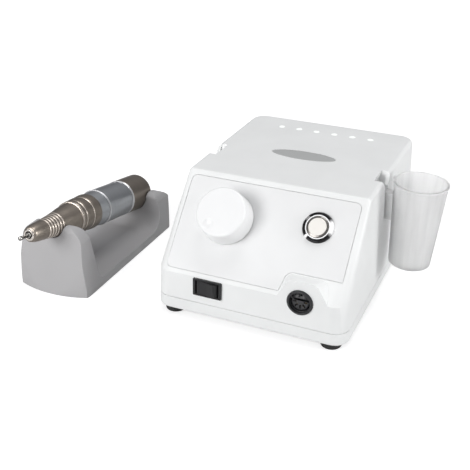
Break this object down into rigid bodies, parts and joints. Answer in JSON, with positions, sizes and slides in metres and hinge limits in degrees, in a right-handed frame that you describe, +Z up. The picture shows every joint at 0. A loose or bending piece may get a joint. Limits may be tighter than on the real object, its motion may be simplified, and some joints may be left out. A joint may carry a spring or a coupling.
{
  "type": "nail drill machine with handpiece cradle",
  "caption": "Nail drill: white sloped control box with speed knob, lit button, rocker and socket, clear bit cup hooked on its side, and a grey cradle holding the slim motor handpiece.",
  "frame": {"origin": "under the middle of the set's bounding box, on the table", "axes": "+X to the right as seen from the front, from the cradle towards the cup; +Y from the front panel towards the back; +Z up"},
  "size_m": [0.2904, 0.2286, 0.0917],
  "materials": {
    "white_shell": "satin moulded ABS",
    "white_panel": "flat smooth inset",
    "white_knob": "smooth satin moulding",
    "black_rubber": "matte",
    "zinc_steel": "bright zinc plate",
    "grey_plate": "flat, bare",
    "lens": "smooth, milky",
    "circuit_board": "green solder mask",
    "led": "clear resin",
    "dark_plastic": "fine grain",
    "steel": "ground",
    "chrome": "polished",
    "white_light": "translucent white",
    "cream_cap": "satin",
    "black_plastic": "smooth",
    "brass": "plated",
    "blue_can": "shrink sleeve",
    "aluminium": "satin, extruded or turned",
    "lamination": "varnished",
    "copper": "bare copper",
    "clear_plastic": "clear, lightly frosted",
    "cradle_grey": "fine-grained moulding",
    "champagne_metal": "turned and anodised",
    "silver_metal": "turned and anodised",
    "carbon": "pressed graphite",
    "amber_plastic": "moulded",
    "tool_steel": "hardened, ground"
  },
  "bodies": {
    "control_unit": {"upper_housing": "white_shell", "base_tray": "white_shell", "control_panel": "white_panel", "rubber_feet": "black_rubber", "housing_screws": "zinc_steel", "badge_plate": "grey_plate", "indicator_lenses": "lens", "indicator_board": "circuit_board", "indicator_leds": "led", "indicator_screws": "zinc_steel", "potentiometer": "dark_plastic", "potentiometer_nut": "zinc_steel", "button_bezel": "chrome", "button_light_ring": "white_light", "button_nut": "zinc_steel", "button_switch": "dark_plastic", "rocker_frame": "black_plastic", "rocker_terminals": "brass", "socket_shell": "dark_plastic", "socket_insert": "dark_plastic", "socket_contacts": "brass", "socket_nut": "zinc_steel", "control_board": "circuit_board", "board_screws": "zinc_steel", "board_capacitors": "blue_can", "heat_sink": "aluminium", "transformer_core": "lamination", "transformer_coil": "copper", "transformer_bolts": "zinc_steel", "cord_gland": "black_plastic", "pedal_jack": "dark_plastic", "pedal_jack_nut": "zinc_steel"},
    "knob": {"speed_knob": "white_knob", "potentiometer_shaft": "steel"},
    "push_button": {"button_plunger": "dark_plastic", "button_cap": "cream_cap"},
    "rocker_lever": {"rocker": "black_plastic"},
    "cup": {"bit_cup": "clear_plastic"},
    "stand": {"cradle": "cradle_grey"},
    "handpiece": {"nose_cone": "champagne_metal", "nose_ring": "chrome", "grip_sleeve": "champagne_metal", "inner_barrel": "aluminium", "case_rings": "chrome", "motor_case": "champagne_metal", "rear_cap": "dark_plastic", "bearings": "steel", "magnets": "lamination", "carbon_brushes": "carbon"},
    "lock_ring": {"lock_sleeve": "silver_metal", "lock_trim": "chrome"},
    "rotor": {"spindle": "steel", "drive_coupling": "amber_plastic", "motor_shaft": "steel", "armature": "copper", "commutator": "copper"},
    "chuck": {"collet": "tool_steel"},
    "bit": {"drill_bit": "tool_steel"}
  },
  "joints": [
    {"name": "knob_turn", "type": "hinge", "parent": "control_unit", "child": "knob", "pos_m": [0.00775, -0.04427, 0.06707], "axis": [0, 0.7465, -0.6654], "range_deg": [0, 270]},
    {"name": "button_press", "type": "slide", "parent": "control_unit", "child": "push_button", "axis": [0, 0.7465, -0.6654], "range_m": [0, 0.0025], "stiffness_N_per_m": 900, "springref_m": -0.0004},
    {"name": "rocker_tilt", "type": "hinge", "parent": "control_unit", "child": "rocker_lever", "pos_m": [0.00575, -0.07141, 0.02704], "axis": [0, 0.0237, 0.9997], "range_deg": [0, 22]},
    {"name": "cup_lift", "type": "slide", "parent": "control_unit", "child": "cup", "axis": [0, 0, 1], "range_m": [0, 0.06]},
    {"name": "cradle_lift", "type": "slide", "parent": "control_unit", "child": "stand", "axis": [0, 0, 1], "range_m": [0, 0.05]},
    {"name": "handpiece_lift", "type": "slide", "parent": "stand", "child": "handpiece", "axis": [0, 0, 1], "range_m": [0, 0.06]},
    {"name": "lock_turn", "type": "hinge", "parent": "handpiece", "child": "lock_ring", "pos_m": [-0.11625, -0.00739, 0.03885], "axis": [0, 0.9842, -0.1771], "range_deg": [0, 60]},
    {"name": "spindle_turn", "type": "hinge", "parent": "handpiece", "child": "rotor", "pos_m": [-0.11625, -0.08415, 0.05266], "axis": [0, 0.9842, -0.1771], "continuous": true},
    {"name": "collet_slide", "type": "slide", "parent": "rotor", "child": "chuck", "axis": [0, -0.9842, 0.1771], "range_m": [0, 0.0012]},
    {"name": "bit_slide", "type": "slide", "parent": "chuck", "child": "bit", "axis": [0, -0.9842, 0.1771], "range_m": [0, 0.03]}
  ],
  "couplings": [
    {"joint": "collet_slide", "follows": "lock_turn", "m_per_rad": 0.0011448}
  ]
}
